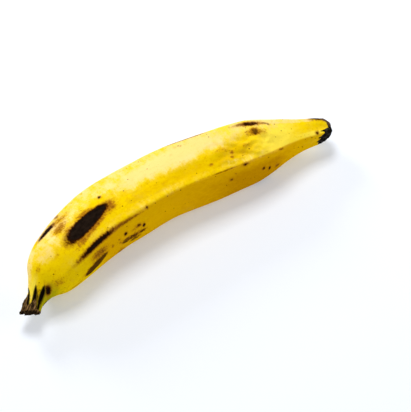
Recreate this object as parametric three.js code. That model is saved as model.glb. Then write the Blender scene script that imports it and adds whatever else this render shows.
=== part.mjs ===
// A ripe plantain, lying on its side: one solid, from the cut end of its stem to the blossom tip.
// Millimetres and degrees, +Z up. The stem points to -X, the tip to +X and the bowed back to +Y.
//
// The fruit starts as a straight, round lathed body along Y. Each point of it then gets its place on
// the real fruit: its radius from the girth, the ridges and the dents, and its place on the bent
// centreline. "along" is the distance from the cut end, and "around" the angle round the centreline:
// 0 on the bowed back, 90 on the upper side, 180 on the hollow side and 270 underneath.

import * as THREE from "three";

const { clamp, degToRad, lerp, smoothstep } = THREE.MathUtils;

// Driving dimensions.
const LENGTH = 276; // along the centreline
const THICKEST = 26.9; // radius to the ridges
const CUT_SLANT = 20; // of the cut end, which reaches further back on the bowed side
const CUT_HOLLOW = 1.2; // depth of the pith, which has dried back into the cut end
const TIP_CAP = 14; // length of the round end at the tip
const TIP_DIMPLE = 2; // depth of the scar that the flower left

// The centreline turns through these arcs, from the stem to the tip.
const BENDS = [
  { length: 23, turn: 9 },
  { length: 30, turn: 10.8 },
  { length: 45, turn: 14.9 },
  { length: 60, turn: 11 },
  { length: 70, turn: 2.3 },
  { length: 48, turn: 11 },
];

// Girth: the radius to the ridges at some distances along, as shares of the thickest.
const GIRTH = [
  { along: 0, value: 0.26 },
  { along: 8, value: 0.255 },
  { along: 14, value: 0.302 },
  { along: 21, value: 0.44 },
  { along: 28, value: 0.64 },
  { along: 36, value: 0.77 },
  { along: 46, value: 0.86 },
  { along: 62, value: 0.925 },
  { along: 94, value: 1 },
  { along: 132, value: 0.97 },
  { along: 182, value: 0.965 },
  { along: 207, value: 0.915 },
  { along: 220, value: 0.81 },
  { along: 235, value: 0.62 },
  { along: 249, value: 0.47 },
  { along: 262, value: 0.37 },
  { along: 276, value: 0.27 },
];

// Ridges: where each stands around the fruit, on the stem's half and on the tip's half.
const RIDGES = [
  { stemHalf: 6, tipHalf: 35 },
  { stemHalf: 119, tipHalf: 121 },
  { stemHalf: 205, tipHalf: 207 },
  { stemHalf: 288, tipHalf: 290 },
  { stemHalf: 332, tipHalf: 333 },
];
const DRIFT_FROM = 122;
const DRIFT_TO = 192;
const SHARPNESS = 20; // of the corner between two flats

// How flat the sides between the ridges are, from 0 for round to 1 for straight.
const FLATNESS = [
  { along: 0, value: 0.3 },
  { along: 32, value: 0.25 },
  { along: 82, value: 0.6 },
  { along: 237, value: 0.62 },
  { along: 276, value: 0.45 },
];

// Grooves on the stem, where it has shrunk between its ribs: where each starts round the cut end,
// and how many degrees they turn about the stem in a millimetre.
const STEM_GROOVES = [
  { around: 45, width: 3.4, depth: 1.2 },
  { around: 91, width: 2.4, depth: 0.5 },
  { around: 132, width: 2.6, depth: 1 },
  { around: 170, width: 3.6, depth: 1.4 },
  { around: 219, width: 2.8, depth: 0.9 },
  { around: 263, width: 3.4, depth: 1.2 },
  { around: 310, width: 2.6, depth: 0.8 },
  { around: 351, width: 2.4, depth: 0.6 },
];
const STEM_TWIST = -3.5;
const GROOVES_END = 26;

// Lobes on the dried tip.
const TIP_LOBES = 4;
const FIRST_LOBE = 40; // where it stands around the tip
const LOBE_HEIGHT = 1;
const LOBES_START = 246;

// Hollows in the peel: where the middle of each is, its size and its depth.
const HOLLOWS = [
  { along: 162, around: 101, length: 130, width: 24, depth: 1.5 },
  { along: 198, around: 88, length: 36, width: 22, depth: 0.9 },
  { along: 68, around: 148, length: 60, width: 26, depth: 0.8 },
  { along: 112, around: 350, length: 90, width: 30, depth: 0.7 },
  { along: 152, around: 170, length: 90, width: 26, depth: 0.6 },
];

// The pose at rest, and how far the fruit's own weight has flattened it where it lies.
const ROLL = 14.4;
const PITCH = 0.28;
const PRESSED = 0.5;

const BODY_RINGS = 78;
const CAP_RINGS = 6;
const SEGMENTS = 56;

// A smooth curve through the values at some distances along.
function curveThrough(stations, along) {
  const last = stations.length - 1;
  let i = 0;
  while (i < last - 1 && along > stations[i + 1].along) i++;
  const slopeAt = (k) => {
    const [before, after] = [stations[Math.max(k - 1, 0)], stations[Math.min(k + 1, last)]];
    return (after.value - before.value) / (after.along - before.along);
  };
  const [a, b] = [stations[i], stations[i + 1]];
  const span = b.along - a.along;
  const t = clamp((along - a.along) / span, 0, 1);
  const ease = t * t * (3 - 2 * t);
  const bow = t * (1 - t) * span;
  return lerp(a.value, b.value, ease) + bow * ((1 - t) * slopeAt(i) - t * slopeAt(i + 1));
}

// The centreline's point and heading at a distance along, from the stem's first heading.
function walk(along, firstHeading) {
  let [x, y, heading, start] = [0, 0, firstHeading, 0];
  for (const bend of BENDS) {
    const travelled = clamp(along - start, 0, bend.length);
    const curvature = degToRad(bend.turn) / bend.length;
    const next = heading - curvature * travelled;
    x += (Math.sin(heading) - Math.sin(next)) / curvature;
    y += (Math.cos(next) - Math.cos(heading)) / curvature;
    heading = next;
    start += bend.length;
  }
  return { x, y, heading };
}

// The heading at the cut end that levels the line from end to end.
const { x: reach, y: drop } = walk(LENGTH, 0);
const FIRST_HEADING = -Math.atan2(drop, reach);

// A rounded polygon with its corners at the ridges, 1 at a sharp corner and less on a flat.
function polygonRadius(along, around) {
  const tipShare = smoothstep(along, DRIFT_FROM, DRIFT_TO);
  const corners = RIDGES.map((ridge) => degToRad(lerp(ridge.stemHalf, ridge.tipHalf, tipShare)));
  let sum = 0;
  corners.forEach((corner, i) => {
    const next = i + 1 < corners.length ? corners[i + 1] : corners[0] + 2 * Math.PI;
    const reachOfFlat = Math.cos((next - corner) / 2);
    sum += Math.max(0, Math.cos(around - (corner + next) / 2) / reachOfFlat) ** SHARPNESS;
  });
  return sum ** (-1 / SHARPNESS);
}

// The distance round the skin from a line at "degrees" to a point at "around".
function roundTheSkin(around, degrees, radius) {
  const turn = around - degToRad(degrees);
  return Math.atan2(Math.sin(turn), Math.cos(turn)) * radius;
}

// How much the stem's grooves and the peel's hollows take off the radius, less what the lobes add.
function relief(along, around, radius) {
  const onStem = 1 - smoothstep(along, GROOVES_END / 2, GROOVES_END);
  const onTip = smoothstep(along, LOBES_START, LENGTH - TIP_CAP / 2);
  let depth = -LOBE_HEIGHT * onTip * Math.cos(TIP_LOBES * (around - degToRad(FIRST_LOBE)));
  for (const groove of STEM_GROOVES) {
    const aside = roundTheSkin(around, groove.around + STEM_TWIST * along, radius);
    depth += groove.depth * onStem * Math.exp(-2 * (2 * aside / groove.width) ** 2);
  }
  for (const hollow of HOLLOWS) {
    const aside = roundTheSkin(around, hollow.around, radius);
    const ahead = along - hollow.along;
    const out = (2 * aside / hollow.width) ** 2 + (2 * ahead / hollow.length) ** 2;
    depth += hollow.depth * Math.exp(-2 * out);
  }
  return depth;
}

function surfaceRadius(along, around) {
  const girth = THICKEST * curveThrough(GIRTH, along);
  const flatness = curveThrough(FLATNESS, along);
  const radius = girth * lerp(1, polygonRadius(along, around), flatness);
  const intoCap = clamp((along - (LENGTH - TIP_CAP)) / TIP_CAP, 0, 1);
  return (radius - relief(along, around, radius)) * Math.sqrt(1 - intoCap ** 2);
}

// A straight round body along Y, closed on its axis at both ends, with its rings closer at the ends.
function lathedBody() {
  const capStart = LENGTH - TIP_CAP;
  const profile = [new THREE.Vector2(0, 0), new THREE.Vector2(0.6, 0)];
  for (let ring = 0; ring < BODY_RINGS; ring++) {
    const t = ring / BODY_RINGS;
    profile.push(new THREE.Vector2(1, capStart * (t - 0.12 * Math.sin(2 * Math.PI * t) / Math.PI)));
  }
  for (let ring = 0; ring < CAP_RINGS; ring++) {
    profile.push(new THREE.Vector2(1, capStart + TIP_CAP * Math.sin((ring / CAP_RINGS) * Math.PI / 2)));
  }
  profile.push(new THREE.Vector2(0, LENGTH));
  return new THREE.LatheGeometry(profile, SEGMENTS);
}

// How far a point at the cut end or at the tip moves back along the fruit from its ring.
function setBack(along, share, outward) {
  const atCut = 1 - smoothstep(along, 0, GROOVES_END / 2);
  const slant = Math.tan(degToRad(CUT_SLANT)) * outward * atCut;
  const hollow = along === 0 ? CUT_HOLLOW * (1 - share ** 2) : 0;
  const dimple = TIP_DIMPLE * smoothstep(along, LENGTH - TIP_CAP / 6, LENGTH);
  return slant - hollow + dimple;
}

// Moves each point of the straight body to its place on the bent and ridged fruit.
function sculpt(body) {
  const points = body.getAttribute("position");
  for (let i = 0; i < points.count; i++) {
    const along = points.getY(i);
    const around = Math.atan2(points.getX(i), points.getZ(i));
    const share = Math.hypot(points.getX(i), points.getZ(i));
    const radius = share < 0.5 ? 0 : share * surfaceRadius(along, around);
    const outward = radius * Math.cos(around);
    const upward = radius * Math.sin(around);
    const { x, y, heading } = walk(along, FIRST_HEADING);
    const back = setBack(along, share, outward);
    const [ahead, aside] = [Math.cos(heading), Math.sin(heading)];
    points.setXYZ(i, x - back * ahead - outward * aside, y - back * aside + outward * ahead, upward);
  }
  return body;
}

// Lays the fruit on the plane z = 0, with the middle of its outline at the origin.
function layDown(body) {
  body.rotateX(degToRad(ROLL));
  body.rotateY(degToRad(-PITCH));
  body.computeBoundingBox();
  const { min, max } = body.boundingBox;
  body.translate(-(min.x + max.x) / 2, -(min.y + max.y) / 2, -min.z - PRESSED);
  const points = body.getAttribute("position");
  for (let i = 0; i < points.count; i++) points.setZ(i, Math.max(0, points.getZ(i)));
  body.computeVertexNormals();
  return body;
}

const peel = new THREE.MeshStandardMaterial({ color: 0xf2cf1d, roughness: 0.5, metalness: 0 });
const plantain = new THREE.Mesh(layDown(sculpt(lathedBody())), peel);
plantain.name = "plantain";

const fruit = new THREE.Group();
fruit.add(plantain);

export default fruit;
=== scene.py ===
"""A ripe plantain lying on its side on a white studio floor.

The skin is one fine mesh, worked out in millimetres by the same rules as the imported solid. "along" is
the distance from the cut end of the stem, and "around" the angle round the centreline in degrees: 0 on
the bowed back, 90 on the upper side, 180 on the hollow side and 270 underneath. What the peel shows is
placed by the same two measures, so that it stays where it is from any side.
"""
import math
from collections import namedtuple

import bpy
import numpy as np
from mathutils import Matrix, Vector, noise


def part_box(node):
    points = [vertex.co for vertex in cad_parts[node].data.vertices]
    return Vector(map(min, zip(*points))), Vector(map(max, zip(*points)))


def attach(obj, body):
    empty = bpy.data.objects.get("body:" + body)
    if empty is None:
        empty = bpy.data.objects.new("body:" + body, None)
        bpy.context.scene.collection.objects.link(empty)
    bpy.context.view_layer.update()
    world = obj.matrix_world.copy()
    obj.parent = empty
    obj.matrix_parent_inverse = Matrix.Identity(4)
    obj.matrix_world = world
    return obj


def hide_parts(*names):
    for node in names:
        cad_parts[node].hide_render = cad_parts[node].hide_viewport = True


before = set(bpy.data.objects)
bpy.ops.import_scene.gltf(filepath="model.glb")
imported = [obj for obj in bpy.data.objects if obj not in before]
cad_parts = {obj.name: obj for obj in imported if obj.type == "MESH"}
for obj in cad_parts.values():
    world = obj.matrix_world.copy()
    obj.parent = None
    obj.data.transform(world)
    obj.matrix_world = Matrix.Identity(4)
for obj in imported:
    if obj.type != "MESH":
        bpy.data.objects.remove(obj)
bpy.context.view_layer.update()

MM = 0.001  # metres

# ---------------------------------------------------------------- the form of the fruit, millimetres

LENGTH = 276  # along the centreline
THICKEST = 26.9  # radius to the ridges
CUT_SLANT = 20  # degrees, of the cut end
CUT_HOLLOW = 1.2  # depth of the pith, which has dried back into the cut end
TIP_CAP = 14  # length of the round end at the tip
TIP_DIMPLE = 2  # depth of the scar that the flower left

# Arcs of the centreline: length and turn in degrees.
BENDS = [(23, 9), (30, 10.8), (45, 14.9), (60, 11), (70, 2.3), (48, 11)]

# Radius to the ridges at distances along, as shares of the thickest.
GIRTH = [
    (0, 0.26), (8, 0.255), (14, 0.302), (21, 0.44), (28, 0.64), (36, 0.77), (46, 0.86), (62, 0.925),
    (94, 1), (132, 0.97), (182, 0.965), (207, 0.915), (220, 0.81), (235, 0.62), (249, 0.47),
    (262, 0.37), (276, 0.27),
]

# Where each ridge stands around the fruit, on the stem's half and on the tip's half, and where along
# it drifts from the one to the other.
RIDGES = [(6, 35), (119, 121), (205, 207), (288, 290), (332, 333)]
DRIFT = (122, 192)
SHARPNESS = 20  # of the corner between two flats

# How flat the sides between the ridges are at distances along, from 0 for round to 1 for straight.
FLATNESS = [(0, 0.3), (32, 0.25), (82, 0.6), (237, 0.62), (276, 0.45)]

# Grooves on the stem, where it has shrunk between its ribs.
Groove = namedtuple("Groove", "around width depth")
STEM_GROOVES = [
    Groove(45, 3.4, 1.2), Groove(91, 2.4, 0.5), Groove(132, 2.6, 1), Groove(170, 3.6, 1.4),
    Groove(219, 2.8, 0.9), Groove(263, 3.4, 1.2), Groove(310, 2.6, 0.8), Groove(351, 2.4, 0.6),
]
STEM_TWIST = -3.5  # degrees a millimetre
GROOVES_END = 26

# Lobes on the dried tip.
TIP_LOBES = 4
FIRST_LOBE = 40  # where it stands around the tip
LOBE_HEIGHT = 1
LOBES_START = 246

# Shallow hollows in the peel.
Hollow = namedtuple("Hollow", "along around length width depth")
HOLLOWS = [
    Hollow(162, 101, 130, 24, 1.5), Hollow(198, 88, 36, 22, 0.9), Hollow(68, 148, 60, 26, 0.8),
    Hollow(112, 350, 90, 30, 0.7), Hollow(152, 170, 90, 26, 0.6),
]

# Unevenness: slow waves all over, and wrinkles in the spots where the peel is soft.
WAVE_LENGTH = 26
WAVE_STRETCH = 0.7  # below 1, which makes the waves and wrinkles longer along the fruit
WAVE_DEPTH = 0.7
WAVES_START = (20, 50)
WAVES_END = (235, 262)
WRINKLE_LENGTH = 7.5
SOFT_SPOTS = [Hollow(202, 92, 80, 34, 2.9), Hollow(122, 90, 90, 34, 0.8), Hollow(72, 50, 60, 40, 0.6)]

# Dried skin: how it crumples on the tip and at the cut, from just outside its edge to just inside,
# how far a bruise sinks in across its own edge, and how the rim of the cut end is tattered.
CRUMPLE_LENGTH = 3.2
TIP_CRUMPLES = 1.6
CUT_CRUMPLES = 0.96
CRUMPLED_FROM = (-1, 1.5)
SUNKEN = 0.25
SUNKEN_FROM = (-0.5, 1.5)
TATTER_DEPTH = 1.2
TATTERS = 4  # how many there are in a radian round the rim
TATTERS_END = 5

# The pose at rest, and how far the fruit's own weight has flattened it where it lies.
ROLL = 14.4
PITCH = 0.28
PRESSED = 0.5

# The mesh: rings along the fruit, rings over its round tip and in its cut end, and points in a ring.
BODY_RINGS = 376
CAP_RINGS = 26
CUT_RINGS = 14
SEGMENTS = 232

# How much closer the body's rings are on the stem and at the tip, how far that reaches, and in how
# many steps it is added up.
STEM_CROWDING = 1.2
TIP_CROWDING = 0.8
CROWDING_REACH = 24
CROWDING_STEPS = 4000


def smoothstep(x, low, high):
    t = np.clip((x - low) / (high - low), 0, 1)
    return t * t * (3 - 2 * t)


def curve_through(stations, along):
    """A smooth curve through the values at some stations."""
    places, values = np.array(stations, float).T
    last = len(places) - 1
    before, after = np.maximum(np.arange(last + 1) - 1, 0), np.minimum(np.arange(last + 1) + 1, last)
    slopes = (values[after] - values[before]) / (places[after] - places[before])
    i = np.clip(np.searchsorted(places, along) - 1, 0, last - 1)
    span = places[i + 1] - places[i]
    t = np.clip((along - places[i]) / span, 0, 1)
    ease = t * t * (3 - 2 * t)
    bow = t * (1 - t) * span * ((1 - t) * slopes[i] - t * slopes[i + 1])
    return values[i] + (values[i + 1] - values[i]) * ease + bow


def walk(along, first_heading):
    """The centreline's points and headings at distances along."""
    x, y, heading, start = 0 * along, 0 * along, first_heading + 0 * along, 0
    for length, turn in BENDS:
        travelled = np.clip(along - start, 0, length)
        curvature = math.radians(turn) / length
        following = heading - curvature * travelled
        x = x + (np.sin(heading) - np.sin(following)) / curvature
        y = y + (np.cos(following) - np.cos(heading)) / curvature
        heading = following
        start += length
    return x, y, heading


reach, drop, _ = walk(np.array(float(LENGTH)), 0.0)
FIRST_HEADING = -math.atan2(drop, reach)


def polygon_radius(along, around):
    """A rounded polygon with its corners at the ridges, 1 at a sharp corner and less on a flat."""
    tip_share = smoothstep(along, *DRIFT)
    corners = [np.radians(stem + (tip - stem) * tip_share) for stem, tip in RIDGES]
    total = 0
    for corner, following in zip(corners, corners[1:] + [corners[0] + 2 * math.pi]):
        flat = np.cos((following - corner) / 2)
        total = total + np.maximum(0, np.cos(around - (corner + following) / 2) / flat) ** SHARPNESS
    return total ** (-1 / SHARPNESS)


def round_the_skin(around, degrees, radius):
    """Distance round the skin from a line at "degrees" to each point."""
    turn = around - np.radians(degrees)
    return np.arctan2(np.sin(turn), np.cos(turn)) * radius


def relief(along, around, radius):
    """What the stem's grooves and the peel's hollows take off the radius, less what the lobes add."""
    on_stem = 1 - smoothstep(along, GROOVES_END / 2, GROOVES_END)
    on_tip = smoothstep(along, LOBES_START, LENGTH - TIP_CAP / 2)
    depth = -LOBE_HEIGHT * on_tip * np.cos(TIP_LOBES * (around - math.radians(FIRST_LOBE)))
    for groove in STEM_GROOVES:
        aside = round_the_skin(around, groove.around + STEM_TWIST * along, radius)
        depth = depth + groove.depth * on_stem * np.exp(-2 * (2 * aside / groove.width) ** 2)
    for hollow in HOLLOWS:
        aside = round_the_skin(around, hollow.around, radius)
        out = (2 * aside / hollow.width) ** 2 + (2 * (along - hollow.along) / hollow.length) ** 2
        depth = depth + hollow.depth * np.exp(-2 * out)
    return depth


def noise_at(places, octaves):
    """Noise from about -1 to 1 at each place, with features about 1 long."""
    return np.array([noise.fractal(place, 1.0, 2.0, octaves) for place in places])


def softness(along, around, radius):
    """How deeply the peel is wrinkled at each point."""
    most = np.zeros(along.shape)
    for spot in SOFT_SPOTS:
        aside = round_the_skin(around, spot.around, radius)
        out = (2 * aside / spot.width) ** 2 + (2 * (along - spot.along) / spot.length) ** 2
        most = np.maximum(most, spot.depth * np.exp(-2 * out))
    return most


def lumps(along, around, radius):
    """What the unevenness of the peel takes off the radius."""
    places = np.stack([radius * np.cos(around), radius * np.sin(around), along * WAVE_STRETCH], -1)
    wavy = smoothstep(along, *WAVES_START) * (1 - smoothstep(along, *WAVES_END))
    waves = WAVE_DEPTH * wavy * noise_at(places / WAVE_LENGTH, 2)
    wrinkles = softness(along, around, radius) * noise_at(places / WRINKLE_LENGTH, 2)
    on_tip = smoothstep(withered_field(along, around), *CRUMPLED_FROM)
    at_cut = smoothstep(torn_field(along, around), *CRUMPLED_FROM)
    crumpled = TIP_CRUMPLES * on_tip + CUT_CRUMPLES * at_cut
    return waves + wrinkles + crumpled * noise_at(places / CRUMPLE_LENGTH, 3)


def body_radius(along, around):
    """The radius before the relief is taken off."""
    girth = THICKEST * curve_through(GIRTH, along)
    flatness = curve_through(FLATNESS, along)
    return girth * (1 + (polygon_radius(along, around) - 1) * flatness)


# ---------------------------------------------------------------- what the peel shows, millimetres

# A mark is an oval. Its "turn" is in degrees, towards a larger "around" as it runs to the tip, "taper"
# narrows the end nearer the tip, and "strength" is how solid its colour is, from 0 to 1.
Mark = namedtuple("Mark", "along around length width turn taper strength")


def dot(along, around, size, strength=1):
    """A round mark."""
    return Mark(along, around, size, size, 0, 0, strength)


# Dead, nearly black peel, and one black patch of painted shade.
BRUISES = [
    # The large one on the upper side, one on the ridge below it, and one on the bowed back.
    Mark(72.2, 81.8, 40.5, 11.4, -4.5, 0.22, 1), Mark(66, 123, 30, 4, 0, 0, 0.72),
    Mark(51.5, 17.5, 13.5, 5, 4, 0, 1),
    # On the neck, beside the splits: a black patch that paints the shade of a hollow between two ribs.
    Mark(18.5, 124, 6.4, 3.2, -50, 0, 1),
    # Near the tip.
    Mark(213, 45.4, 10, 2.8, 5, 0, 0.57), Mark(264.5, 38, 8, 2, 0, 0, 0.6),
    # Small ones, from the stem to the tip.
    dot(63.5, 9.5, 1.4, 0.8), dot(91, 51, 1.4), Mark(91, 150.5, 2.4, 2.8, 0, 0, 1),
    dot(103.4, 149.4, 2.2, 0.56), Mark(107.8, 158.7, 2.1, 3.8, 0, 0, 1), dot(113.2, 121.7, 1.2, 0.6),
    dot(183.6, 147, 1.2, 0.8), Mark(195.6, 123.5, 2, 1.2, 0, 0, 1),
    Mark(210.5, 154, 1.8, 2.8, 0, 0, 0.52), Mark(216, 164, 1.7, 3.2, 0, 0, 1), dot(260.2, 114, 1.5, 0.9),
]

# Scabbed peel: dead only in the skin's outer layer, so browner and not sunken.
SCABS = [
    # Between two splits of the stem.
    Mark(11, 93, 8.5, 2.6, -19, 0, 0.9),
    # Along the ridge below the large bruise.
    Mark(67.5, 123.6, 36, 4.6, 0, 0, 1), Mark(88, 123.6, 26, 2.6, 2, 0.4, 0.5),
    # On the hollow side, towards the stem.
    Mark(52, 171.5, 13, 9, 0, 0, 0.9), Mark(59, 169, 16, 8, -6, 0, 0.85),
    Mark(66, 166, 12, 5.5, -8, 0.2, 0.7), Mark(90.5, 172, 8, 6, 0, 0, 0.62),
    Mark(97.5, 174, 9, 5, 8, 0, 0.6), Mark(99, 186, 9, 4, 0, 0, 0.55),
    Mark(105.5, 175, 7, 3.4, 0, 0, 0.7),
    # Near the tip.
    Mark(213, 66.2, 5.4, 4.6, 0, 0, 0.6), Mark(209.5, 44, 17, 3.2, 5, -0.2, 0.9),
    Mark(222.7, 48, 4, 1.5, 8, 0, 0.75), dot(225.6, 51.3, 1.7), Mark(223.5, 176, 3.4, 2.4, 0, 0, 0.5),
]

# Brown peel, on its way to the same.
STAINS = [
    # On the neck.
    Mark(27, 57, 6, 5, 0, 0, 0.5), Mark(40, 85, 6, 3, 0, 0, 0.45), Mark(49, 90, 5, 4, 0, 0, 0.35),
    Mark(26.5, 127, 10, 9, 0, 0, 0.5),
    # Round the large bruise, and between it and the one on the back.
    Mark(56, 51, 10, 7, 0, 0, 0.7), Mark(58, 42, 13, 7, 0, 0, 0.65), Mark(63, 23, 14, 8, 0, 0, 0.65),
    Mark(75, 61, 15, 5, 4, 0, 0.8), Mark(60, 66, 10, 4, 0, 0, 0.6), Mark(59, 102, 10, 5, -6, 0, 0.6),
    Mark(73, 100, 34, 4.4, -9, 0, 0.9), Mark(94, 78, 6, 6, 0, 0, 0.5), Mark(91.5, 86, 9, 8, 0, 0, 0.9),
    # Along the ridge below it, and on the hollow side.
    Mark(93, 123.6, 30, 3.4, 2, 0, 0.9), Mark(65, 148, 19, 9, 4, 0, 0.95),
    Mark(103, 152, 16, 5, 0, 0, 0.6), Mark(98, 172, 24, 8, 4, 0, 0.8), Mark(53, 168, 26, 8, 0, 0, 0.6),
    Mark(36, 180, 14, 3, 0, 0, 0.7), Mark(77.5, 160, 2.4, 4, 0, 0, 0.9),
    Mark(84.6, 165, 2.4, 3.4, 0, 0, 0.8), Mark(84.3, 154.7, 2, 3, 0, 0, 0.7),
    # In the wax of the upper side.
    Mark(155.5, 31, 3, 2.4, 0, 0, 0.4), Mark(159, 34, 2.6, 2.2, 0, 0, 0.4),
    Mark(150, 42, 3, 2.6, 0, 0, 0.3),
    # Towards the tip.
    Mark(171.8, 103, 5, 3, 0, 0, 0.7), Mark(184.5, 82, 13, 5, 0, 0, 0.5),
    Mark(187, 135, 3, 2.4, 0, 0, 0.7), Mark(188.5, 103, 2.8, 2.8, 0, 0, 0.8),
    Mark(190.1, 93.3, 3.6, 3.6, 0, 0, 0.9), Mark(201.5, 89, 10, 4, 0, 0, 0.4),
    Mark(207, 66, 7, 5, 0, 0, 0.4), Mark(210.5, 156, 4, 3, 0, 0, 0.8),
    Mark(212.6, 65.5, 9, 7, 0, 0, 0.9), Mark(218.5, 72, 7, 5, 0, 0, 0.4),
    Mark(219, 47, 9, 3, 0, 0, 0.5), Mark(222.5, 170, 4, 3, 0, 0, 0.9), Mark(226.4, 123.2, 5, 2, 6, 0, 1),
]

# The deepest that any point counts as, inside the edge of a bruise or a scab, where the mark has full
# strength and where it has none: a faint one never gets to the darkest colours.
SOLID_DEPTH = 2.1
FAINT_DEPTH = -1.9
TAPERED_WIDTHS = (0.3, 2)  # the least and the most that a taper leaves of a mark's width
FAR_OUTSIDE = -20.0  # further from any mark than its edge can feather out

# Ridges whose edge has browned: which one, from where to where along it, and how much. Then how wide
# the brown is to either side, and how slowly it starts and ends.
Worn = namedtuple("Worn", "ridge start end strength")
WORN_RIDGES = [
    Worn(0, 150, 180, 1), Worn(1, 132, 226, 0.4), Worn(1, 168, 190, 0.75), Worn(2, 42, 122, 0.7),
    Worn(2, 152, 242, 0.4), Worn(3, 62, 212, 0.5), Worn(4, 46, 102, 0.8), Worn(4, 122, 237, 0.5),
]
WORN_REACH = 0.85
WORN_FADE = 6

# Where the peel still has its wax it is paler, partly as a painted sheen, and shinier. Fresh peel is a
# lighter yellow, partly painted light where the lamps leave it dim, and the stem's ribs are still green.
# The hollow side has turned ochre, partly as painted shade, with painted shade towards the tip and in a
# valley of the upper side. A zone has full strength up to "inner" degrees to either side of its middle
# line, and fades to nothing at "outer". How strong it is changes with the distance along.
Zone = namedtuple("Zone", "middle inner outer strengths")
# Waxed zones are pale partly from the wax and partly as a painted sheen, also in strips along a ridge
# and on the tip's hollow side.
WAXED_AND_SHEEN = [
    Zone(49, 4, 50, [
        (90, 0), (106, 0.6), (125, 1), (165, 0.95), (190, 0.6), (225, 0.5), (240, 0.3), (260, 0),
    ]),
    Zone(22, 18, 42, [(38, 0), (48, 0.7), (62, 0.55), (80, 0.5), (125, 0.6), (150, 0.5), (170, 0)]),
    Zone(45, 20, 50, [(24, 0), (33, 0.5), (50, 0.6), (66, 0.1), (75, 0)]),
    Zone(15, 6, 34, [(8, 0), (16, 0.5), (34, 0.75), (48, 0)]),
    Zone(55, 18, 34, [(0, 0.5), (10, 0.5), (18, 0)]),
    Zone(116, 4, 12, [(70, 0), (118, 0.3), (135, 0.3), (175, 0.2), (195, 0.4), (212, 0.45), (230, 0)]),
    Zone(42, 6, 16, [(200, 0), (222, 0.7), (258, 0.6), (266, 0)]),
    Zone(150, 6, 26, [(236, 0), (252, 0.25), (262, 0.25), (266, 0)]),
]
# Fresh zones also paint light: on the tip's half, on the neck, and in a strip above a ridge near the
# tip.
FRESH_AND_PAINTED_LIGHT = [
    Zone(46, 12, 30, [(165, 0), (190, 0.8), (212, 0.8), (230, 0)]),
    Zone(42, 12, 36, [(0, 0.8), (18, 0.7), (30, 0)]),
    Zone(113, 6, 16, [(212, 0), (228, 0.8), (262, 0.7), (268, 0)]),
    Zone(76, 44, 56, [(194, 0), (208, 0.45), (222, 0.9), (236, 0.8), (250, 0.2), (262, 0.1)]),
]
GREEN = [
    Zone(150, 32, 62, [(0, 1), (18, 0.9), (27, 0.25), (34, 0)]),
    Zone(265, 40, 75, [(0, 0.9), (18, 0.8), (34, 0)]),
    Zone(30, 50, 90, [(0, 0.35), (18, 0.25), (27, 0)]),
]
# The hollow side is darker and more orange: partly ochre peel, partly painted shade.
OCHRE_AND_SHADE = [
    Zone(168, 46, 51, [
        (46, 0), (75, 1), (100, 0.8), (150, 0.95), (180, 1), (238, 0.9), (262, 0.6),
    ]),
]
# Painted shade: darker peel on the hollow side towards the tip, and along a valley of the upper side.
PAINTED_SHADE_ZONES = [
    Zone(172, 24, 50, [(130, 0), (165, 0.4), (195, 1), (222, 1), (240, 0)]),
    Zone(101, 3, 14, [(92, 0), (110, 0.35), (135, 0.3), (155, 0.1), (180, 0.3), (200, 0.3), (212, 0)]),
]

# How far the cut end has dried and torn, and where the withered tip starts, at angles around.
TORN_TO = [
    (0, 12), (15, 11), (35, 6), (50, 5), (65, 5.5), (84, 9), (105, 8), (120, 4), (135, 2), (160, 1.5),
    (200, 3), (290, 5), (340, 10), (360, 12),
]
WITHERED_FROM = [
    (0, 264), (30, 263.5), (42, 267), (62, 269.8), (88, 271), (97, 269.5), (104, 267), (110, 263.6),
    (117, 266.6), (128, 263.6), (142, 260.6), (152, 263), (172, 261.2), (183, 261), (230, 265),
    (300, 264), (360, 266),
]

# Dark splits between the ribs of the stem: where each starts round the cut end, its turn in degrees
# a millimetre, where along it ends, and its width at the cut.
Split = namedtuple("Split", "around twist end width")
SPLITS = [
    Split(62, -3.5, 15.5, 3.6), Split(104, -2.3, 17.5, 2.3), Split(149, -2.5, 20, 3.6),
    Split(240, -3, 17, 4), Split(305, -3, 20, 5),
]
SPLIT_BLUNTNESS = 8  # how long a split stays wide before it closes

# Marks on the sides away from the camera, drawn at random from one seed: how many of each kind, and
# between which values their sizes, strengths, places and turns lie.
Hidden = namedtuple("Hidden", "count lengths widths strengths")
HIDDEN_SEED = 11
HIDDEN_BRUISES = Hidden(9, (5, 30), (2, 9), (0.6, 1))
HIDDEN_STAINS = Hidden(12, (8, 34), (5, 16), (0.3, 0.9))
HIDDEN_ALONG = (38, 240)
HIDDEN_AROUND = (195, 350)
HIDDEN_TURNS = (-12, 12)
HIDDEN_TAPERS = (0, 0.3)


def hidden_marks(draw, hidden):
    """Marks of one kind, each with its place, size, turn, taper and strength drawn at random."""
    ranges = (
        HIDDEN_ALONG, HIDDEN_AROUND, hidden.lengths, hidden.widths, HIDDEN_TURNS, HIDDEN_TAPERS,
        hidden.strengths,
    )
    return [Mark(*(draw.uniform(low, high) for low, high in ranges)) for _ in range(hidden.count)]


def place_on(mark, along, around, radius):
    """Where each point lies from the middle of a mark: towards the tip, and round the skin."""
    ahead = along - mark.along
    aside = round_the_skin(around, mark.around, radius)
    cosine, sine = math.cos(math.radians(mark.turn)), math.sin(math.radians(mark.turn))
    return ahead * cosine + aside * sine, aside * cosine - ahead * sine


def edge_field(marks, along, around, radius):
    """How far each point lies inside the nearest mark's edge, less than 0 outside."""
    deepest = np.full(along.shape, FAR_OUTSIDE)
    for mark in marks:
        ahead, aside = place_on(mark, along, around, radius)
        u = 2 * ahead / mark.length
        v = 2 * aside / (mark.width * np.clip(1 - mark.taper * u, *TAPERED_WIDTHS))
        depth = (1 - np.hypot(u, v)) * mark.width / 2
        limit = FAINT_DEPTH + (SOLID_DEPTH - FAINT_DEPTH) * mark.strength
        deepest = np.maximum(deepest, np.minimum(depth, limit))
    return deepest


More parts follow.
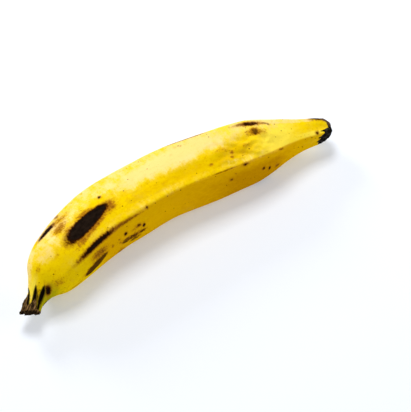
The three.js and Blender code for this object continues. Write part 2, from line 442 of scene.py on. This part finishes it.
def stain_field(marks, along, around, radius):
    """How brown each point is, from 0 to 1."""
    clean = np.ones(along.shape)
    for mark in marks:
        ahead, aside = place_on(mark, along, around, radius)
        out = (2 * ahead / mark.length) ** 2 + (2 * aside / mark.width) ** 2
        clean *= 1 - mark.strength * np.exp(-out)
    return 1 - clean


def worn_field(along, around, radius):
    """How worn each point is by the browned ridge nearest to it, from 0 to 1."""
    tip_share = smoothstep(along, *DRIFT)
    most = np.zeros(along.shape)
    for worn in WORN_RIDGES:
        stem, tip = RIDGES[worn.ridge]
        aside = round_the_skin(around, stem + (tip - stem) * tip_share, radius)
        there = smoothstep(along, worn.start - WORN_FADE, worn.start + WORN_FADE)
        there = there * (1 - smoothstep(along, worn.end - WORN_FADE, worn.end + WORN_FADE))
        most = np.maximum(most, worn.strength * there * np.exp(-((aside / WORN_REACH) ** 2)))
    return most


def split_field(along, around, radius):
    """How far inside a dark split of the stem each point is, less than 0 outside."""
    deepest = np.full(along.shape, FAR_OUTSIDE)
    for split in SPLITS:
        aside = round_the_skin(around, split.around + split.twist * along, radius)
        taper = 1 - (along / split.end) ** SPLIT_BLUNTNESS
        deepest = np.maximum(deepest, split.width / 2 * taper - np.abs(aside))
    return deepest


def zone_field(zones, along, around):
    """How far into the nearest zone each point is, from 0 to 1."""
    most = np.zeros(along.shape)
    for zone in zones:
        turn = around - math.radians(zone.middle)
        turn = np.degrees(np.abs(np.arctan2(np.sin(turn), np.cos(turn))))
        strength = np.interp(along, *np.transpose(zone.strengths))
        most = np.maximum(most, strength * (1 - smoothstep(turn, zone.inner, zone.outer)))
    return most


def withered_field(along, around):
    """How far past the edge of the withered tip each point is."""
    return along - curve_through(WITHERED_FROM, np.degrees(around) % 360)


def torn_field(along, around):
    """How far inside the torn part of the cut end each point is."""
    return curve_through(TORN_TO, np.degrees(around) % 360) - along


# ---------------------------------------------------------------- the skin


def ring_places():
    """Distances along of the body's rings, closer together on the stem and near the tip."""
    along = np.linspace(0, LENGTH - TIP_CAP, CROWDING_STEPS)
    crowding = 1 + STEM_CROWDING * np.exp(-((along / CROWDING_REACH) ** 2))
    crowding += TIP_CROWDING * np.exp(-(((along - LENGTH) / CROWDING_REACH) ** 2))
    share = np.concatenate([[0], np.cumsum((crowding[1:] + crowding[:-1]) / 2)])
    return np.interp(np.arange(BODY_RINGS) / BODY_RINGS, share / share[-1], along)


def skin_grid():
    """Along, around and the share of the radius, ring by ring from the pith to the tip, poles last."""
    cut = np.arange(1, CUT_RINGS) / CUT_RINGS
    cap = LENGTH - TIP_CAP + TIP_CAP * np.sin(np.arange(CAP_RINGS) / CAP_RINGS * math.pi / 2)
    along = np.concatenate([0 * cut, ring_places(), cap])
    share = np.concatenate([cut, np.ones(BODY_RINGS + CAP_RINGS)])
    turns = np.arange(SEGMENTS) / SEGMENTS * 2 * math.pi
    return (
        np.append(np.repeat(along, SEGMENTS), [0, LENGTH]),
        np.append(np.tile(turns, len(along)), [0, 0]),
        np.append(np.repeat(share, SEGMENTS), [0, 0]),
    )


def place_in_frame(along, around, radius, share):
    """The points of the fruit as it grew: bent in the plane z = 0, with its hollow side to -y."""
    turns = np.stack([np.cos(around), np.sin(around), 0 * around], -1)
    at_rim = share**2 * (1 - smoothstep(along, 0, TATTERS_END))
    tatter = TATTER_DEPTH * noise_at(turns * TATTERS, 3) * at_rim
    x, y, heading = walk(along, FIRST_HEADING)
    outward, upward = radius * np.cos(around), radius * np.sin(around)
    slant = math.tan(math.radians(CUT_SLANT)) * outward * (1 - smoothstep(along, 0, GROOVES_END / 2))
    hollow = np.where(along == 0, CUT_HOLLOW * (1 - share**2), 0)
    dimple = TIP_DIMPLE * smoothstep(along, LENGTH - TIP_CAP / 6, LENGTH)
    back = slant - hollow + dimple + tatter
    x = x - back * np.cos(heading) - outward * np.sin(heading)
    y = y - back * np.sin(heading) + outward * np.cos(heading)
    return np.stack([x, y, upward], -1)


def lay_down(points):
    """Rolls and pitches the points into their resting pose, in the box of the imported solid, metres."""
    turned = points @ np.array(Matrix.Rotation(math.radians(ROLL), 3, "X")).T
    turned = turned @ np.array(Matrix.Rotation(math.radians(-PITCH), 3, "Y")).T
    low, high = turned.min(0), turned.max(0)
    box_low, box_high = (np.array(corner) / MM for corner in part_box("plantain"))
    middle = (box_low + box_high) / 2 - (low + high) / 2
    turned += [middle[0], middle[1], box_low[2] - PRESSED - low[2]]
    turned[:, 2] = np.maximum(turned[:, 2], box_low[2])
    return turned * MM


def mesh_from_rings(name, points):
    """A closed mesh from rings of points, with a fan to a pole at each end, unwrapped like a label."""
    rings = (len(points) - 2) // SEGMENTS
    pith, tip = len(points) - 2, len(points) - 1
    last_ring = (rings - 1) * SEGMENTS
    heights = [(ring + 1) / (rings + 1) for ring in range(rings)]
    faces, places = [], []
    for i in range(SEGMENTS):
        following = (i + 1) % SEGMENTS
        left, right, middle = i / SEGMENTS, (i + 1) / SEGMENTS, (i + 0.5) / SEGMENTS
        for ring, (low, high) in enumerate(zip(heights, heights[1:])):
            a, b = ring * SEGMENTS + i, ring * SEGMENTS + following
            faces.append((a, a + SEGMENTS, b + SEGMENTS, b))
            places += [(left, low), (left, high), (right, high), (right, low)]
        faces.append((pith, i, following))
        places += [(middle, 0), (left, heights[0]), (right, heights[0])]
        faces.append((tip, last_ring + following, last_ring + i))
        places += [(middle, 1), (right, heights[-1]), (left, heights[-1])]
    mesh = bpy.data.meshes.new(name)
    mesh.from_pydata(points.tolist(), [], faces)
    unwrapped = mesh.uv_layers.new(name="OFBake")
    unwrapped.data.foreach_set("uv", np.array(places, np.float32).ravel())
    mesh.shade_smooth()
    return mesh


def add_field(mesh, name, values, kind="FLOAT", key="value"):
    """Stores a value for each point, for the material to read."""
    field = mesh.attributes.new(name, kind, "POINT")
    field.data.foreach_set(key, np.ascontiguousarray(values, np.float32).ravel())


def make_fruit():
    along, around, share = skin_grid()
    whole = body_radius(along, around)
    draw = np.random.default_rng(HIDDEN_SEED)
    bruises = BRUISES + hidden_marks(draw, HIDDEN_BRUISES)
    stains = STAINS + hidden_marks(draw, HIDDEN_STAINS)
    bruised = edge_field(bruises, along, around, whole)
    sunken = SUNKEN * smoothstep(bruised, *SUNKEN_FROM)
    into_cap = np.clip((along - (LENGTH - TIP_CAP)) / TIP_CAP, 0, 1)
    shaped = whole - relief(along, around, whole) - lumps(along, around, whole) - sunken
    radius = shaped * np.sqrt(1 - into_cap**2) * share
    mesh = mesh_from_rings("plantain_skin", lay_down(place_in_frame(along, around, radius, share)))
    straight = np.stack([whole * share * np.cos(around), whole * share * np.sin(around), along], -1)
    add_field(mesh, "straight", straight, "FLOAT_VECTOR", "vector")
    for name, values in {
        "bruised": bruised,
        "scabbed": edge_field(SCABS, along, around, whole),
        "stained": stain_field(stains, along, around, whole),
        "worn": worn_field(along, around, whole),
        "split": split_field(along, around, whole),
        # painted shade: the deeper a hollow, the deeper the yellow painted there
        "hollow_painted_shade": relief(along, around, whole) * (along > GROOVES_END),
        "waxed_and_painted_sheen": zone_field(WAXED_AND_SHEEN, along, around),
        "fresh_and_painted_light": zone_field(FRESH_AND_PAINTED_LIGHT, along, around),
        "green": zone_field(GREEN, along, around),
        "ochre_and_painted_shade": zone_field(OCHRE_AND_SHADE, along, around),
        "painted_shade": zone_field(PAINTED_SHADE_ZONES, along, around),
        "withered": withered_field(along, around),
        "torn": torn_field(along, around),
    }.items():
        add_field(mesh, name, values)
    return bpy.data.objects.new("plantain_skin", mesh)


# ---------------------------------------------------------------- the finish


def decoded(value):
    """A display value from 0 to 255 as the linear light that a shader works in."""
    v = value / 255
    return v / 12.92 if v <= 0.04045 else ((v + 0.055) / 1.055) ** 2.4


def linear(red, green, blue):
    """A shader's colour from display values."""
    return (decoded(red), decoded(green), decoded(blue), 1)


# The colours of living peel, then of its marks, and of the stem's splits and the two ends.
RIPE_YELLOW = linear(247, 214, 4)
DEEP_YELLOW = linear(226, 184, 0)
# Fresh yellow, which also paints light on faces that the lamps leave dim.
FRESH_YELLOW_AND_PAINTED_LIGHT = linear(250, 226, 74)
# The two wax colours are paler than the peel: the wax's own colour, and a painted sheen.
THIN_WAX_AND_SHEEN = linear(246, 211, 46)
THICK_WAX_AND_SHEEN = linear(246, 217, 129)
OCHRE_AND_SHADE_PEEL = linear(226, 168, 0)
# A darker peel colour that paints shade.
PAINTED_SHADE_PEEL = linear(186, 126, 0)
FRECKLE = linear(216, 164, 0)
FLECK = linear(190, 132, 4)
STEM_GREEN = linear(160, 158, 14)
SPECK_BROWN = linear(112, 60, 4)
STAIN_EDGE = linear(206, 146, 8)
STAIN_BROWN = linear(164, 106, 18)
STAIN_DARK = linear(100, 54, 14)
WORN_BROWN = linear(124, 66, 0)
SCAB_EDGE = linear(164, 104, 6)
SCAB_DARK = linear(38, 22, 9)
SCAB_PALE = linear(78, 46, 14)
BRUISE_FRINGE = linear(172, 110, 24)
BRUISE_EDGE = linear(92, 46, 2)
BRUISE_RIM = linear(34, 13, 4)
BRUISE_DARK = linear(16, 10, 7)
BRUISE_PALE = linear(38, 28, 21)
SPLIT_EDGE = linear(112, 96, 14)
SPLIT_BLACK = linear(14, 9, 6)
FIBRE_DARK = linear(24, 16, 9)
FIBRE_PALE = linear(172, 132, 80)
TIP_BLACK = linear(18, 16, 14)
TIP_GREY = linear(84, 80, 76)
TIP_BROWN = linear(112, 86, 62)

# Small brown specks, one to a cell of a pattern: how many cells there are in a millimetre, the share
# of them that have a speck, its largest radius as a share of a cell, and how solid it is.
Speck = namedtuple("Speck", "cells share radius strength")
SPECKS = [Speck(0.3, 0.5, 0.17, 0.8), Speck(0.16, 0.4, 0.085, 0.95)]

# The coat is the wax. Stained and dead peel has none, and dead peel is rougher.
LIVE_ROUGHNESS = 0.38
DEAD_ROUGHNESS = 0.63
WAX_COAT = 0.7
WAX_ROUGHNESS = 0.42

# Relief in millimetres.
GRAIN_DEPTH = 0.012
FIBRE_DEPTH = 0.02
MOTTLE_DEPTH = 0.03
CRACKLE_DEPTH = 0.12


class Nodes:
    """Adds shader nodes to a material and links them."""

    def __init__(self, name):
        self.material = bpy.data.materials.new(name)
        self.material.use_nodes = True
        self.tree = self.material.node_tree
        self.shader = self.tree.nodes["Principled BSDF"]

    def link(self, source, socket):
        """Links a node's output to a socket, or sets the socket to a constant."""
        if isinstance(source, bpy.types.NodeSocket):
            self.tree.links.new(source, socket)
        else:
            socket.default_value = source

    def node(self, kind, output=0, inputs=None, **settings):
        made = self.tree.nodes.new(kind)
        for key, value in settings.items():
            setattr(made, key, value)
        for key, value in (inputs or {}).items():
            self.link(value, made.inputs[key])
        return made.outputs[output]

    def math(self, operation, a, b=0.0, c=0.0):
        return self.node("ShaderNodeMath", operation=operation, inputs={0: a, 1: b, 2: c})

    def times(self, a, b):
        return self.math("MULTIPLY", a, b)

    def most(self, first, *others):
        """The largest of some values."""
        for other in others:
            first = self.math("MAXIMUM", first, other)
        return first

    def plus(self, value, *parts):
        """A value with a share of each part added, such as noise that breaks up its edge."""
        for part, share in parts:
            value = self.math("MULTIPLY_ADD", part, share, value)
        return value

    def field(self, name, output="Fac"):
        return self.node("ShaderNodeAttribute", output, attribute_name=name)

    def axis(self, vector, name):
        return self.node("ShaderNodeSeparateXYZ", name, inputs={"Vector": vector})

    def stretched(self, vector, scale):
        return self.node("ShaderNodeVectorMath", operation="MULTIPLY", inputs={0: vector, 1: scale})

    def noise(self, vector, scale, detail=3, roughness=0.5):
        """Noise from about -1 to 1, with features about 1 / scale long.

        Blender's own noise runs from 0 to 1 but keeps to the middle, so it is stretched about that.
        """
        found = self.node(
            "ShaderNodeTexNoise",
            inputs={"Vector": vector, "Scale": scale, "Detail": detail, "Roughness": roughness},
        )
        return self.math("MULTIPLY_ADD", found, 3.0, -1.5)

    def ramp(self, value, low, high):
        """0 at low and 1 at high, smooth between."""
        return self.node(
            "ShaderNodeMapRange",
            interpolation_type="SMOOTHSTEP",
            inputs={"Value": value, "From Min": low, "From Max": high},
        )

    def mix(self, share, a, b):
        """Colour a, with a share of colour b mixed in."""
        made = self.tree.nodes.new("ShaderNodeMix")
        made.data_type = "RGBA"
        self.link(share, made.inputs["Factor"])
        self.link(a, made.inputs[6])  # the sockets of the two colours, which share their names
        self.link(b, made.inputs[7])  # with those of the other data types
        return made.outputs[2]

    def tint(self, colour, share, strength, other):
        """A colour with another mixed in, by a share times a strength."""
        return self.mix(self.times(share, strength), colour, other)


class Peel(Nodes):
    """The peel's material. A layer takes the colour that lies under it, and gives back its own."""

    def __init__(self):
        super().__init__("peel")
        self.place = self.field("straight", "Vector")
        # Noise that the layers share. A small last factor draws it out along the fruit, and small
        # first ones draw it out round the fruit.
        self.patches = self.noise(self.place, 0.05, 3)
        self.mottle = self.noise(self.stretched(self.place, (1, 1, 0.6)), 0.4, 5, 0.6)
        self.fibres = self.noise(self.stretched(self.place, (1, 1, 0.06)), 1.5, 3)
        self.freckles = self.noise(self.place, 0.55, 5, 0.75)
        self.feather = self.noise(self.stretched(self.place, (0.4, 0.4, 1)), 0.6, 5, 0.7)
        self.ragged = self.noise(self.stretched(self.place, (1, 1, 0.35)), 0.45, 5, 0.6)
        # What several layers and the gloss go by, with broken edges.
        self.wax_and_sheen = self.waxed_and_sheen_share()
        self.in_stain = self.field("stained")
        self.in_bruise = self.plus(self.field("bruised"), (self.feather, 1.0), (self.freckles, 0.35))
        self.in_split = self.plus(self.field("split"), (self.freckles, 0.3))
        self.in_cut = self.plus(self.field("torn"), (self.ragged, 2.2))
        self.in_tip = self.plus(self.field("withered"), (self.ragged, 1.8))

    def waxed_and_sheen_share(self):
        """How waxed the peel is, with its painted sheen, from 0 to 1, with strokes round the fruit where
        wax meets bare peel.
        """
        uneven = self.plus(self.field("waxed_and_painted_sheen"), (self.mottle, 0.12), (self.patches, 0.25))
        strokes = self.noise(self.stretched(self.place, (0.4, 0.4, 1)), 0.24, 5, 0.65)
        meeting = self.most(self.times(uneven, self.math("SUBTRACT", 1.0, uneven)), 0.0)
        worn = self.plus(uneven, (self.times(strokes, meeting), 1.7), (self.freckles, -0.15))
        return self.ramp(worn, 0.05, 0.95)

    def ripe_layer(self):
        """Ripe yellow, with painted shade deeper in the hollows, and lighter where it is fresh and where
        light is painted on.
        """
        # Deeper yellow in random patches, and painted shade in the hollows.
        deep = self.times(self.patches, 0.35)
        deep = self.plus(deep, (self.field("hollow_painted_shade"), 0.35), (self.mottle, 0.22), (self.fibres, 0.12))
        colour = self.mix(self.ramp(deep, -0.6, 0.9), RIPE_YELLOW, DEEP_YELLOW)
        fresh_and_painted_light = self.plus(self.field("fresh_and_painted_light"), (self.mottle, 0.3), (self.patches, 0.5))
        return self.tint(colour, self.ramp(fresh_and_painted_light, 0.0, 1.0), 0.9, FRESH_YELLOW_AND_PAINTED_LIGHT)

    def wax_and_painted_sheen_layer(self, colour):
        # Paler where waxed: the wax's own colour, and a painted sheen.
        colour = self.tint(colour, self.ramp(self.wax_and_sheen, 0.0, 0.6), 0.8, THIN_WAX_AND_SHEEN)
        return self.tint(colour, self.ramp(self.wax_and_sheen, 0.2, 1.0), 0.85, THICK_WAX_AND_SHEEN)

    def ochre_and_shade_layer(self, colour):
        """The hollow side's ochre, partly painted shade, with painted shade towards the tip and in a
        valley of the upper side.
        """
        ochre_and_painted_shade = self.plus(self.field("ochre_and_painted_shade"), (self.mottle, 0.2))
        colour = self.tint(colour, self.ramp(ochre_and_painted_shade, 0.0, 1.1), 0.9, OCHRE_AND_SHADE_PEEL)
        painted_shade = self.plus(self.field("painted_shade"), (self.mottle, 0.3))
        return self.tint(colour, self.ramp(painted_shade, 0.0, 1.1), 0.8, PAINTED_SHADE_PEEL)

    def freckle_layer(self, colour):
        """Freckles, fainter on waxed and fresh peel and under painted sheen and light, and darker flecks
        along the fibres.
        """
        strength = self.plus(0.6, (self.most(self.wax_and_sheen, self.field("fresh_and_painted_light")), -0.45))
        colour = self.tint(colour, self.ramp(self.freckles, -0.15, 0.75), strength, FRECKLE)
        flecks = self.noise(self.stretched(self.place, (1, 1, 0.5)), 0.28, 4, 0.8)
        return self.tint(colour, self.ramp(flecks, 0.35, 0.6), 0.4, FLECK)

    def green_layer(self, colour):
        """Green left on the neck, and on the ribs of the stem."""
        green = self.plus(self.field("green"), (self.mottle, 0.2), (self.patches, 0.15))
        return self.tint(colour, self.ramp(green, 0.1, 1.0), 0.85, STEM_GREEN)

    def speck_layer(self, colour):
        for speck in SPECKS:
            pattern = self.tree.nodes.new("ShaderNodeTexVoronoi")
            self.link(self.place, pattern.inputs["Vector"])
            self.link(speck.cells, pattern.inputs["Scale"])
            drawn = {"Color": pattern.outputs["Color"]}
            chance = self.node("ShaderNodeSeparateColor", "Red", inputs=drawn)
            reach = self.times(self.ramp(chance, 1 - speck.share, 1.0), speck.radius)
            inside = self.math("SUBTRACT", reach, pattern.outputs["Distance"])
            colour = self.tint(colour, self.ramp(inside, -0.05, 0.05), speck.strength, SPECK_BROWN)
        return colour

    def stain_layer(self, colour):
        """Stains: freckled brown, with an ochre edge."""
        brown = self.plus(self.math("SUBTRACT", self.in_stain, 0.35), (self.freckles, 0.75))
        colour = self.tint(colour, self.ramp(self.in_stain, 0.0, 0.8), 0.75, STAIN_EDGE)
        colour = self.tint(colour, self.ramp(brown, -0.05, 0.35), 0.75, STAIN_BROWN)
        return self.tint(colour, self.ramp(brown, 0.25, 0.8), 0.75, STAIN_DARK)

    def worn_layer(self, colour):
        """Browned ridges."""
        worn = self.plus(self.field("worn"), (self.freckles, 0.3))
        return self.tint(colour, self.ramp(worn, 0.25, 0.8), 0.85, WORN_BROWN)

    def scab_layer(self, colour):
        """Scabs, with edges that feather out round the fruit."""
        inside = self.plus(self.field("scabbed"), (self.freckles, 0.9), (self.feather, 0.5))
        scab = self.mix(self.ramp(self.mottle, -0.8, 0.6), SCAB_DARK, SCAB_PALE)
        colour = self.tint(colour, self.ramp(inside, -1.4, 0.3), 0.6, SCAB_EDGE)
        return self.tint(colour, self.ramp(inside, -0.4, 0.9), 0.9, scab)

    def bruise_layer(self, colour):
        """Bruises: nearly black, with a brown rim, and a paler fringe that feathers out."""
        dead = self.mix(self.ramp(self.mottle, -0.9, 0.9), BRUISE_DARK, BRUISE_PALE)
        dead = self.mix(self.ramp(self.in_bruise, 0.4, 1.2), BRUISE_RIM, dead)
        colour = self.tint(colour, self.ramp(self.in_bruise, -2.2, -0.2), 0.6, BRUISE_FRINGE)
        colour = self.mix(self.ramp(self.in_bruise, -1.0, 0.3), colour, BRUISE_EDGE)
        return self.mix(self.ramp(self.in_bruise, -0.3, 0.7), colour, dead)

    def split_layer(self, colour):
        """Dark splits between the ribs of the stem."""
        colour = self.mix(self.ramp(self.in_split, -1.1, -0.1), colour, SPLIT_EDGE)
        return self.mix(self.ramp(self.in_split, -0.25, 0.25), colour, SPLIT_BLACK)

    def cut_layer(self, colour):
        """The fibrous cut end, darker at the cut itself."""
        at_cut = self.ramp(self.axis(self.place, "Z"), 1.8, 0.2)
        strands = self.noise(self.stretched(self.place, (1, 1, 0.3)), 0.9, 4, 0.7)
        strands = self.plus(strands, (at_cut, -0.35))
        fibre = self.mix(self.ramp(strands, -0.4, 0.9), FIBRE_DARK, FIBRE_PALE)
        return self.mix(self.ramp(self.in_cut, -0.5, 0.5), colour, fibre)

    def tip_layer(self, colour):
        """The withered tip: black, and browner on the bowed back."""
        on_back = self.ramp(self.axis(self.place, "X"), 0.5, 4.5)
        tip = self.mix(self.ramp(self.mottle, -0.2, 1.0), TIP_BLACK, TIP_GREY)
        tip = self.tint(tip, on_back, 0.7, TIP_BROWN)
        return self.mix(self.ramp(self.in_tip, -0.3, 0.3), colour, tip)

    def colour(self):
        colour = self.ripe_layer()
        for layer in (
            self.wax_and_painted_sheen_layer, self.ochre_and_shade_layer, self.freckle_layer, self.green_layer, self.speck_layer,
            self.stain_layer, self.worn_layer, self.scab_layer, self.bruise_layer, self.split_layer,
            self.cut_layer, self.tip_layer,
        ):
            colour = layer(colour)
        return colour

    def dead_share(self):
        """How dead the peel is, from 0 to 1."""
        return self.most(
            self.ramp(self.in_bruise, -0.3, 0.5), self.ramp(self.in_tip, -0.4, 0.4),
            self.ramp(self.in_cut, -0.5, 0.5), self.ramp(self.in_split, -0.4, 0.2),
        )

    def height(self, dead):
        """Fine grain, fibres, mottling, and crackled dead peel, in millimetres."""
        crackle = self.times(self.math("ADD", self.freckles, self.ragged), dead)
        return self.plus(
            self.times(self.noise(self.place, 1.6, 4), GRAIN_DEPTH),
            (self.fibres, FIBRE_DEPTH), (self.mottle, MOTTLE_DEPTH), (crackle, CRACKLE_DEPTH),
        )


def peel_material():
    n = Peel()
    n.link(n.colour(), n.shader.inputs["Base Color"])
    n.link(0.0, n.shader.inputs["Specular IOR Level"])
    dead = n.dead_share()
    roughness = n.plus(LIVE_ROUGHNESS, (dead, DEAD_ROUGHNESS - LIVE_ROUGHNESS))
    n.link(roughness, n.shader.inputs["Roughness"])
    alive = n.math("SUBTRACT", 1.0, n.most(dead, n.ramp(n.in_stain, 0.1, 0.6)))
    n.link(n.times(n.times(n.wax_and_sheen, WAX_COAT), alive), n.shader.inputs["Coat Weight"])
    n.link(WAX_ROUGHNESS, n.shader.inputs["Coat Roughness"])
    height = n.times(n.height(dead), MM)
    bump = n.node("ShaderNodeBump", inputs={"Height": height, "Distance": 1.0})
    n.link(bump, n.shader.inputs["Normal"])
    return n.material


# ---------------------------------------------------------------- the studio

# The camera, in degrees and millimetres.
CAMERA_AZIMUTH = -35
CAMERA_ELEVATION = 60
CAMERA_DISTANCE = 991
CAMERA_LENS = 120
CAMERA_SENSOR = 36
CAMERA_TARGET = (17.97, -27.8, 21)

# Soft lights, all as far from the fruit: their directions in degrees, their sizes in millimetres and
# their power in watts.
Softbox = namedtuple("Softbox", "name azimuth elevation width height watts")
SOFTBOXES = [
    Softbox("key", 185, 26, 400, 400, 7.5),
    Softbox("top", 165, 68, 450, 450, 9.2),
    Softbox("fill", 58, 28, 900, 700, 5.3),
    Softbox("stem fill", -80, 20, 500, 500, 2.0),
]
SOFTBOX_DISTANCE = 1300
SKY_STRENGTH = 0.3

# The white floor, half its side in metres and its colour as linear light.
FLOOR_HALF = 3.0
FLOOR_COLOUR = (0.735, 0.775, 0.845, 1)
FLOOR_GLOW = 0.2
FLOOR_ROUGHNESS = 0.9
WHITE = (1, 1, 1, 1)


def towards(azimuth, elevation):
    """The direction from the fruit to something at this azimuth and elevation."""
    a, e = math.radians(azimuth), math.radians(elevation)
    return Vector((math.sin(a) * math.cos(e), -math.cos(a) * math.cos(e), math.sin(e)))


def aim(thing, azimuth, elevation, distance, target):
    """Places a camera or a light, in millimetres from its target, and turns it to look at that."""
    back = towards(azimuth, elevation)
    thing.location = (Vector(target) + back * distance) * MM
    thing.rotation_euler = back.to_track_quat("Z", "Y").to_euler()
    bpy.context.collection.objects.link(thing)


def make_camera():
    """The camera, with its picture's colours shown as they are."""
    data = bpy.data.cameras.new("camera")
    data.lens = CAMERA_LENS
    data.sensor_width = CAMERA_SENSOR
    camera = bpy.data.objects.new("camera", data)
    aim(camera, CAMERA_AZIMUTH, CAMERA_ELEVATION, CAMERA_DISTANCE, CAMERA_TARGET)
    bpy.context.scene.camera = camera
    bpy.context.scene.view_settings.view_transform = "Standard"


def make_softbox(box):
    data = bpy.data.lights.new(box.name, "AREA")
    data.shape = "RECTANGLE"
    data.size = box.width * MM
    data.size_y = box.height * MM
    data.energy = box.watts
    light = bpy.data.objects.new(box.name, data)
    aim(light, box.azimuth, box.elevation, SOFTBOX_DISTANCE, (0, 0, 0))


def make_sky():
    world = bpy.data.worlds.new("studio")
    world.use_nodes = True
    background = world.node_tree.nodes["Background"]
    background.inputs["Color"].default_value = WHITE
    background.inputs["Strength"].default_value = SKY_STRENGTH
    bpy.context.scene.world = world


def make_floor():
    mesh = bpy.data.meshes.new("floor")
    corners = [(x * FLOOR_HALF, y * FLOOR_HALF, 0) for x, y in ((-1, -1), (1, -1), (1, 1), (-1, 1))]
    mesh.from_pydata(corners, [], [(0, 1, 2, 3)])
    floor = bpy.data.objects.new("floor", mesh)
    bpy.context.collection.objects.link(floor)
    n = Nodes("floor")
    n.link(FLOOR_COLOUR, n.shader.inputs["Base Color"])
    n.link(WHITE, n.shader.inputs["Emission Color"])
    n.link(FLOOR_GLOW, n.shader.inputs["Emission Strength"])
    n.link(FLOOR_ROUGHNESS, n.shader.inputs["Roughness"])
    n.link(0.0, n.shader.inputs["Specular IOR Level"])
    mesh.materials.append(n.material)


fruit = make_fruit()
bpy.context.collection.objects.link(fruit)
fruit.data.materials.append(peel_material())
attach(fruit, "root")
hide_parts("plantain")

make_camera()
for softbox in SOFTBOXES:
    make_softbox(softbox)
make_sky()
make_floor()
